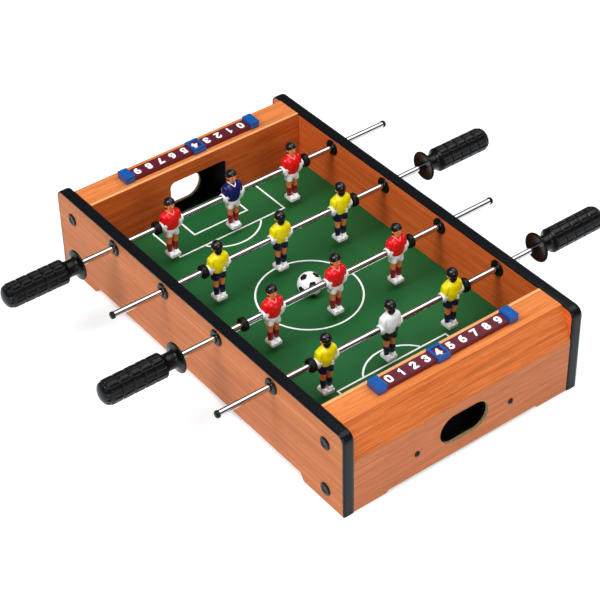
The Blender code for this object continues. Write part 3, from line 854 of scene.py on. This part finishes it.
def make_handle_mesh():
    sides = GRIP_ROWS * 14
    stations = [(x, radius, False) for x, radius in HANDLE_OUTLINE]
    x = GRIP_START
    while x < DOME_END - 0.1:
        stations.append((x, 0, True))
        near_groove = min(abs(x - ring) for ring in GRIP_RINGS) < 2 * GROOVE_WIDTH
        x += 0.3 if near_groove or x > FINE_START else 1.0
    bm = bmesh.new()
    rings = []
    for x, radius, gripped in stations:
        ring = []
        for angle in angles_round(sides):
            reach = (grip_radius(x, angle) if gripped else radius) * MM
            ring.append(bm.verts.new((x * MM, reach * math.sin(angle), reach * math.cos(angle))))
        rings.append(ring)
    rings.append([bm.verts.new((DOME_END * MM, 0, 0))])
    join_all(bm, rings)
    bm.faces.new(rings[0][::-1])
    mesh = finish_mesh(bm, "handle_look", 60)
    mesh.materials.append(PAINTS["black_plastic"])
    return mesh


def make_bushing_mesh(side):
    """Both flanges are softly rounded and the sleeve between them is hidden in the panel."""
    outer, inner = WIDTH / 2 + 0.05 * MM, INNER_X - 0.05 * MM
    flange = [(0, 9.2), (0.35, 9.5), (1.0, 9.3), (1.8, 8.4), (2.15, 7.2), (2.15, 5.2), (1.9, 4.4)]
    outline = [(outer + x * MM, radius * MM) for x, radius in flange]
    outline.append((outer + 1.0 * MM, 3.8 * MM))
    outline.append((inner - 1.0 * MM, 3.8 * MM))
    outline += [(inner - x * MM, radius * MM) for x, radius in flange[::-1]]
    outline += [(inner, 6 * MM), (outer, 6 * MM)]
    mesh = turned("bushing_look", [(side * x, radius) for x, radius in outline])
    mesh.materials.append(PAINTS["black_plastic"])
    return mesh


def make_stop_mesh():
    half = 3.0
    outline = [
        (-half, 3.8), (-half, 6.9), (-half + 0.25, 7.4), (-half + 0.8, 7.75),
        (half - 0.8, 7.75), (half - 0.25, 7.4), (half, 6.9), (half, 3.8),
    ]
    mesh = turned("stop_look", [(x * MM, radius * MM) for x, radius in outline])
    mesh.materials.append(PAINTS["rubber"])
    return mesh


# Men --------------------

SHIRT, SHORTS, SKIN, SOCKS, WHITE, HAIR, COLLAR, DARK, MOUTH, NUMBER = range(10)
KITS = {
    "red": ("red", "white", "skin", "dark_red", "white", "hair", "pale_red", "black", "mouth", "white"),
    "blue": ("blue", "white", "skin", "dark_red", "white", "hair", "white", "black", "mouth", "white"),
    "yellow": (
        "yellow", "navy", "skin", "navy", "white", "hair", "pale_yellow", "black", "mouth", "white",
    ),
    "white": ("white", "black", "skin", "navy", "white", "hair", "white", "black", "mouth", "black"),
}
# The kits on each rod, from left to right.
SHIRTS = {
    1: ("red", "blue", "red"),
    2: ("yellow", "yellow", "yellow"),
    3: ("red", "red", "red"),
    4: ("yellow", "white", "yellow"),
}

# Each level: x, y, z of its centre, half width, half depth (mm, from the rod's axis, looking to -Y)
TORSO = (
    (0, 0.0, -6.9, 6.8, 5.2), (0, 0.0, -6.7, 7.7, 6.0), (0, 0.0, -5.6, 8.1, 6.5),
    (0, 0.0, -3.0, 8.7, 6.9), (0, 0.0, 0.0, 9.6, 7.2), (0, -0.1, 3.5, 10.4, 7.4),
    (0, -0.2, 7.5, 10.6, 7.2), (0, 0.0, 11.0, 10.0, 6.5), (0, 0.2, 13.3, 8.6, 5.4),
    (0, 0.4, 14.9, 6.2, 4.2),
    (0, 0.5, 15.9, 3.8, 3.4), (0, 0.5, 16.1, 2.4, 2.2),
)
SLEEVE = (
    (7.2, 0.3, 13.9, 1.4, 1.6), (7.7, 0.3, 13.3, 3.0, 3.3), (8.6, 0.3, 11.2, 3.4, 4.4),
    (9.2, 0.3, 8.0, 3.2, 4.8), (9.6, 0.2, 4.6, 3.0, 4.8), (9.8, 0.2, 2.2, 2.8, 4.6),
    (9.8, 0.2, 1.6, 2.0, 3.6),
)
FOREARM = (
    (9.9, 0.0, 3.4, 1.9, 3.0), (10.2, -0.1, 1.6, 2.3, 4.4), (10.4, -0.3, -1.5, 2.5, 5.0),
    (10.2, -0.6, -4.6, 2.5, 4.8), (9.4, -0.9, -7.0, 2.2, 3.4), (8.9, -1.0, -8.6, 1.9, 2.4),
    (8.6, -1.0, -9.6, 1.0, 1.2),
)
HIPS = (
    (0, 0, -4.6, 7.4, 5.2), (0, 0, -5.6, 8.3, 6.0), (0, 0, -9.0, 8.5, 6.2), (0, 0, -12.0, 8.3, 5.9),
    (0, 0, -12.6, 7.0, 4.8),
)
SHORT_LEG = (
    (4.2, 0, -9.5, 3.6, 5.0), (4.3, 0, -12.5, 4.0, 5.5), (4.35, 0, -15.4, 4.1, 5.6),
    (4.35, 0, -16.1, 3.9, 5.4), (4.3, 0, -16.2, 2.8, 4.0),
)
THIGH = (
    (4.1, 0, -14.0, 2.6, 3.0), (4.1, 0, -16.0, 3.1, 3.9), (4.0, 0.1, -20.0, 3.0, 3.7),
    (3.9, 0.1, -24.0, 2.75, 3.3), (3.8, 0.1, -28.0, 2.5, 2.9),
)
SOCK = (
    (3.85, 0.1, -26.2, 1.8, 2.2), (3.85, 0.1, -26.5, 2.9, 3.4), (3.85, 0.1, -27.6, 3.05, 3.6),
    (3.85, 0.1, -28.0, 2.85, 3.35), (3.8, 0.35, -31.0, 2.95, 3.6), (3.75, 0.3, -34.5, 2.7, 3.2),
    (3.7, 0.1, -38.0, 2.4, 2.8), (3.7, 0.1, -40.5, 2.4, 2.8),
)
NECK = ((0, 0.5, 13.0, 3.0, 3.0), (0, 0.3, 16.0, 2.9, 2.9), (0, 0.1, 20.5, 2.9, 3.0))
FACE = (
    (0, -0.9, 18.2, 1.2, 1.2), (0, -1.0, 18.7, 2.4, 2.7), (0, -0.8, 20.0, 3.7, 4.3),
    (0, -0.5, 22.0, 4.7, 5.3), (0, -0.3, 24.5, 5.2, 5.7), (0, 0.0, 27.0, 5.0, 5.5),
    (0, 0.2, 29.3, 3.9, 4.4), (0, 0.3, 30.6, 1.6, 2.0),
)


def smooth_levels(levels, steps=4):
    """More levels on a smooth curve through the given ones."""
    made = []
    for index in range(len(levels) - 1):
        picks = [levels[max(0, index - 1)], levels[index], levels[index + 1]]
        picks.append(levels[min(len(levels) - 1, index + 2)])
        for step in range(steps):
            made.append([cubic(values, step / steps) for values in zip(*picks)])
    made.append(list(levels[-1]))
    return made


def loft(bm, levels, material, sides=28, power=2.3, wrinkle=0.0, mirror=1):
    """A closed body through levels. A power over 2 makes each level squarer than an ellipse."""
    rings = []
    for x, y, z, half_width, half_depth in smooth_levels(levels):
        ring = []
        for angle in angles_round(sides):
            c, s = math.cos(angle), math.sin(angle)
            reach = (abs(c) ** power + abs(s) ** power) ** (-1 / power)
            out = Vector((half_width * reach * c, half_depth * reach * s, 0))
            if wrinkle:
                out *= 1 + wrinkle * noise.noise(Vector((c * 1.6, s * 1.6, z * 0.22)))
            ring.append(bm.verts.new(Vector((mirror * x, y, z)) + out))
        rings.append(ring)
    join_all(bm, rings, material, capped=True)


def ellipsoid(bm, centre, radii, material, segments=20, cut_plane=None):
    """A ball shape. cut_plane, a point and a direction, keeps what lies on the direction's side."""
    made = bmesh.ops.create_uvsphere(bm, u_segments=segments, v_segments=segments // 2 + 2, radius=1)
    verts = made["verts"]
    change = Matrix.Translation(centre) @ Matrix.Diagonal((*radii, 1))
    bmesh.ops.transform(bm, matrix=change, verts=verts)
    faces = {face for vert in verts for face in vert.link_faces}
    for face in faces:
        face.material_index = material
    if cut_plane is None:
        return
    edges = {edge for face in faces for edge in face.edges}
    geom = list(verts) + list(edges) + list(faces)
    cut = bmesh.ops.bisect_plane(
        bm, geom=geom, plane_co=cut_plane[0], plane_no=cut_plane[1], clear_inner=True
    )
    rim = [item for item in cut["geom_cut"] if isinstance(item, bmesh.types.BMEdge)]
    filled = bmesh.ops.contextual_create(bm, geom=rim)
    for face in filled["faces"]:
        face.material_index = material


def tube(bm, points, radius, material, sides=10):
    rings = []
    for index, at in enumerate(points):
        before = points[max(0, index - 1)]
        after = points[min(len(points) - 1, index + 1)]
        turn = (after - before).to_track_quat("Z", "Y")
        outs = [Vector((math.cos(angle), math.sin(angle), 0)) for angle in angles_round(sides)]
        rings.append([bm.verts.new(at + turn @ out * radius) for out in outs])
    join_all(bm, rings, material, capped=True)


def tapered_block(bm, low, high, bevel, material, taper):
    """A box with soft edges, narrower at its foot."""
    made = bmesh.ops.create_cube(bm, size=1)
    verts = made["verts"]
    low, high = Vector(low), Vector(high)
    bmesh.ops.scale(bm, verts=verts, vec=high - low)
    bmesh.ops.translate(bm, verts=verts, vec=(low + high) / 2)
    for vert in verts:
        if vert.co.z < (low.z + high.z) / 2:
            vert.co.x *= 1 - taper
            vert.co.y *= 1 - taper
    edges = {edge for vert in verts for edge in vert.link_edges}
    for face in {face for vert in verts for face in vert.link_faces}:
        face.material_index = material
    bmesh.ops.bevel(bm, geom=list(edges), offset=bevel, segments=3, affect="EDGES", material=-1)


def add_hub(bm):
    """The white boss that grips the rod on both sides of the shirt."""
    outline = ((7, 3.9), (7, 5.0), (13.2, 4.9), (13.9, 4.7), (14.3, 4.3), (14.3, 3.9))
    for side in (-1, 1):
        rings = [ring_round_x(bm, side * x, radius, 32) for x, radius in outline]
        join_all(bm, rings, WHITE, closed=True)


def add_boots(bm):
    tapered_block(bm, (-6.5, -7.2, -44.5), (6.5, 6.5, -40.3), 0.5, WHITE, taper=0.03)
    for side in (-1, 1):
        levels = (
            (side * 3.35, -0.35, -41.0, 2.9, 6.7), (side * 3.35, -0.35, -40.0, 2.95, 6.7),
            (side * 3.35, -0.2, -39.3, 2.85, 6.3), (side * 3.4, 0.8, -38.4, 2.6, 4.6),
            (side * 3.5, 1.4, -37.6, 2.4, 3.4), (side * 3.6, 1.4, -37.3, 1.6, 2.4),
        )
        loft(bm, levels, WHITE, power=2.8)


def add_head(bm):
    loft(bm, NECK, SKIN, sides=20)
    loft(bm, FACE, SKIN, power=2.1)
    plane = (Vector((0, -2.0, 24.4)), Vector((0, 0.55, 0.83)).normalized())
    ellipsoid(bm, (0, 0.4, 25.8), (6.1, 6.6, 6.0), HAIR, 28, plane)
    ellipsoid(bm, (0, 2.7, 20.2), (4.4, 3.2, 5.6), HAIR, 20)
    for side in (-1, 1):
        ellipsoid(bm, (side * 5.3, -0.3, 23.4), (0.9, 1.3, 1.7), SKIN, 12)
        ellipsoid(bm, (side * 1.9, -5.35, 23.9), (0.75, 0.4, 0.42), DARK, 12)
        ellipsoid(bm, (side * 2.0, -5.45, 25.0), (1.2, 0.35, 0.28), HAIR, 12)
    ellipsoid(bm, (0, -5.9, 22.7), (0.65, 0.8, 1.1), SKIN, 12)
    ellipsoid(bm, (0, -5.1, 20.8), (1.3, 0.5, 0.34), MOUTH, 12)


def add_collar(bm):
    points = [(3.1, 3.2, 15.9), (3.7, 0.5, 15.8), (2.9, -2.7, 15.1), (1.4, -4.7, 13.9), (0, -5.9, 12.3)]
    right = [Vector(point) for point in points]
    left = [Vector((-point.x, point.y, point.z)) for point in right[::-1]]
    tube(bm, right + left[1:], 0.62, COLLAR)


NUMBER_SPOT = (-3.4, 7.05, -3.2)


def add_number(bm, digit):
    """A small generic number low on the back."""
    mesh = glyph(digit, height=5.0, width=3.6, stroke=1.1, rise=0.5)
    upright = Euler((math.radians(90), 0, math.pi)).to_matrix().to_4x4()
    mesh.transform(Matrix.Translation(NUMBER_SPOT) @ upright)
    before = set(bm.faces)
    bm.from_mesh(mesh)
    for face in set(bm.faces) - before:
        face.material_index = NUMBER


def make_man_mesh():
    bm = bmesh.new()
    loft(bm, TORSO, SHIRT, sides=40, power=2.35, wrinkle=0.05)
    for mirror in (-1, 1):
        loft(bm, SLEEVE, SHIRT, mirror=mirror, wrinkle=0.06)
        loft(bm, FOREARM, WHITE, mirror=mirror)
        loft(bm, SHORT_LEG, SHORTS, mirror=mirror, wrinkle=0.03)
        loft(bm, THIGH, SKIN, mirror=mirror)
        loft(bm, SOCK, SOCKS, mirror=mirror)
    loft(bm, HIPS, SHORTS, sides=32, wrinkle=0.03)
    add_hub(bm)
    add_boots(bm)
    add_head(bm)
    add_collar(bm)
    add_number(bm, 2)
    bmesh.ops.scale(bm, verts=bm.verts, vec=(MM, MM, MM))
    return finish_mesh(bm, "man_look", 50)


def kit_meshes():
    base = make_man_mesh()
    made = {}
    for kit, paints in KITS.items():
        mesh = base.copy()
        mesh.name = f"man_{kit}_look"
        for paint in paints:
            mesh.materials.append(PAINTS[paint])
        made[kit] = mesh
    return made


def make_rod_tube(number, spot):
    low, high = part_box(f"rod_{number}")
    start, finish = low.x - spot.x, high.x - spot.x
    half = [(0, 2.7), (0, 3.3), (0.2, 3.5)]
    outline = [(start + x * MM, radius * MM) for x, radius in half]
    outline += [(finish - x * MM, radius * MM) for x, radius in half[::-1]]
    mesh = turned(f"rod_{number}_look", outline)
    spot_matrix = Matrix.Translation(spot)
    body = f"rod_{number}_tube"
    place(f"rod_{number}_look", mesh, body, ["chrome"], [f"rod_{number}"], spot_matrix)
    away = -HANDLE_SIDES[number]
    free_end = start if away < 0 else finish
    outline = [(free_end + away * x * MM, radius * MM) for x, radius in PLUG_OUTLINE]
    mesh = turned(f"rod_{number}_end_plug", outline, closed=False)
    place(f"rod_{number}_end_plug", mesh, body, ["black_plastic"], matrix=spot_matrix)


def put(node, mesh, body, x, spot, turn=0.0):
    """Puts a ready mesh in a CAD node's place, on the axis of its rod."""
    matrix = Matrix.Translation((x, spot.y, spot.z)) @ Matrix.Rotation(turn, 4, "Z")
    place(f"{node}_look", mesh, body, [], [node], matrix)


def make_rods():
    men = kit_meshes()
    handle = make_handle_mesh()
    stop = make_stop_mesh()
    bushings = {"left": make_bushing_mesh(-1), "right": make_bushing_mesh(1)}
    for number, kits in SHIRTS.items():
        middle = "goalkeeper" if number in KEEPERS else "middle"
        spot = middle_of(f"rod_{number}")
        spot.x = middle_of(f"rod_{number}_man_{middle}").x
        make_rod_tube(number, spot)
        body = f"rod_{number}_men"
        facing = math.pi if number in (2, 4) else 0
        for where, kit in zip(("left", middle, "right"), kits):
            node = f"rod_{number}_man_{where}"
            put(node, men[kit], body, middle_of(node).x, spot, facing)
        for where in ("left", "right"):
            node = f"rod_{number}_stop_{where}"
            put(node, stop, body, middle_of(node).x, spot)
            put(f"rod_{number}_bushing_{where}", bushings[where], TABLE, 0, spot)
        side = HANDLE_SIDES[number]
        turn = 0 if side > 0 else math.pi
        x = spot.x + side * HANDLE_START
        put(f"rod_{number}_handle", handle, body, x, spot, turn)


# Ball --------------------


# The direction of the ball's nearest pentagon and the turn about it, as the camera sees them.
BALL_FACING = (0.24, -0.12, 0.96)
BALL_TURN = math.radians(136)


def ball_corners():
    """The corners of an icosahedron, where a football's pentagons are, and the neighbours of each."""
    golden = (1 + math.sqrt(5)) / 2
    corners = []
    for a in (-1, 1):
        for b in (-golden, golden):
            corners += [Vector((0, a, b)), Vector((a, b, 0)), Vector((b, 0, a))]
    corners = [corner.normalized() for corner in corners]
    span = min((corners[0] - other).length for other in corners[1:]) * 1.01
    near = {
        i: [j for j in range(12) if j != i and (corners[i] - corners[j]).length < span]
        for i in range(12)
    }
    return corners, near


def in_order(points):
    """The points in order round their middle."""
    middle = sum(points, Vector()).normalized()
    first = middle.orthogonal().normalized()
    second = middle.cross(first)
    return sorted(points, key=lambda p: math.atan2(p.dot(second), p.dot(first)))


def ball_mesh(corners, near, radius):
    """Twelve black pentagons with white hexagons between them, pushed out to a round ball."""
    bm = bmesh.new()

    def add_face(edges, material):
        """A face with a point a third of the way along each edge."""
        points = in_order([corners[i].lerp(corners[j], 1 / 3) for i, j in edges])
        bm.faces.new([bm.verts.new(point) for point in points]).material_index = material

    for i in range(12):
        add_face([(i, j) for j in near[i]], 1)
    for i in range(12):
        for j in near[i]:
            for k in near[i]:
                if i < j < k and k in near[j]:
                    add_face(((i, j), (j, i), (j, k), (k, j), (k, i), (i, k)), 0)
    bmesh.ops.remove_doubles(bm, verts=bm.verts, dist=1e-4)
    bmesh.ops.poke(bm, faces=bm.faces[:])
    bmesh.ops.subdivide_edges(bm, edges=bm.edges[:], cuts=6, use_grid_fill=True)
    for vert in bm.verts:
        vert.co = vert.co.normalized() * radius
    return finish_mesh(bm, "ball_look", 80)


def ball_turn(towards, neighbour):
    """Turns one pentagon to BALL_FACING, with the next one to it at BALL_TURN."""
    side = (neighbour - towards * towards.dot(neighbour)).normalized()
    local = Matrix((side, towards.cross(side), towards)).transposed()
    eye = CAMERA.matrix_world.to_3x3()
    facing = (eye @ Vector(BALL_FACING)).normalized()
    aside = eye @ Vector((math.cos(BALL_TURN), math.sin(BALL_TURN), 0))
    aside = (aside - facing * facing.dot(aside)).normalized()
    world = Matrix((aside, facing.cross(aside), facing)).transposed()
    return (world @ local.inverted()).to_4x4()


def make_ball():
    low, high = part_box("ball")
    corners, near = ball_corners()
    mesh = ball_mesh(corners, near, (high.z - low.z) / 2)
    matrix = Matrix.Translation((low + high) / 2) @ ball_turn(corners[0], corners[near[0][0]])
    paints = ["ball_white", "ball_black"]
    place("ball_look", mesh, "loose_ball", paints, ["ball"], matrix)


# Camera, light and floor --------------------


CAMERA_SPOT = (-0.97207, -1.29378, 1.37424)
CAMERA_TURN = (0.878054, 0.017710, -0.652642)
CAMERA_LENS = 117.05
SENSOR_WIDTH = 36
FLOOR_HALF = 6
FLOOR_DROP = 0.5 * MM
FLOOR_COLOUR = (0.78, 0.82, 0.84, 1)
FLOOR_GLOW = (0.88, 0.96, 1, 1)
FLOOR_GLOW_STRENGTH = 0.42
WORLD_STRENGTH = 0.13
# Each light: where it is, where it points, the sides of its rectangle, in metres, and its watts.
LIGHTS = {
    "rod_light": ((0.95, -0.1, 1.65), (0.95, -0.1, 0), (1.4, 1.6), 20),
    "overhead": ((-0.55, -0.3, 1.6), (0, 0, 0), (0.9, 0.9), 13),
    "left_fill": ((-1.4, 0.1, 1.5), (0, 0, 0.05), (0.6, 0.6), 17),
    "front_fill": ((-0.3, -1.9, 0.9), (0, 0, 0.05), (1.0, 1.0), 12),
}


def make_camera():
    data = bpy.data.cameras.new("camera")
    data.lens = CAMERA_LENS
    data.sensor_width = SENSOR_WIDTH
    made = new_object("camera", data)
    made.location = CAMERA_SPOT
    made.rotation_euler = CAMERA_TURN
    bpy.context.scene.camera = made
    bpy.context.view_layer.update()
    return made


def area_light(name, location, target, size, power):
    data = bpy.data.lights.new(name, "AREA")
    data.shape = "RECTANGLE"
    data.size, data.size_y = size
    data.energy = power
    made = new_object(name, data)
    made.location = location
    made.rotation_euler = (Vector(target) - Vector(location)).to_track_quat("-Z", "Y").to_euler()


def make_stage():
    bm = bmesh.new()
    bmesh.ops.create_grid(bm, x_segments=1, y_segments=1, size=FLOOR_HALF)
    floor = new_object("floor", finish_mesh(bm, "floor"))
    floor.location.z = -FLOOR_DROP
    made, _, shader = start_material("floor", 0.8, specular=0.1)
    set_inputs(shader, {"Base Color": FLOOR_COLOUR, "Emission Color": FLOOR_GLOW})
    set_inputs(shader, {"Emission Strength": FLOOR_GLOW_STRENGTH})
    floor.data.materials.append(made)
    world = bpy.data.worlds.new("studio")
    world.use_nodes = True
    background = world.node_tree.nodes["Background"]
    set_inputs(background, {"Color": (1, 1, 1, 1), "Strength": WORLD_STRENGTH})
    bpy.context.scene.world = world
    for name, (location, target, size, power) in LIGHTS.items():
        area_light(name, location, target, size, power)


bpy.context.scene.view_settings.view_transform = "Standard"
CAMERA = make_camera()
make_stage()
make_cabinet()
for end_name, end_side in (("near", -1), ("far", 1)):
    make_score_counter(end_name, end_side)
make_rods()
make_ball()

bpy.context.view_layer.update()
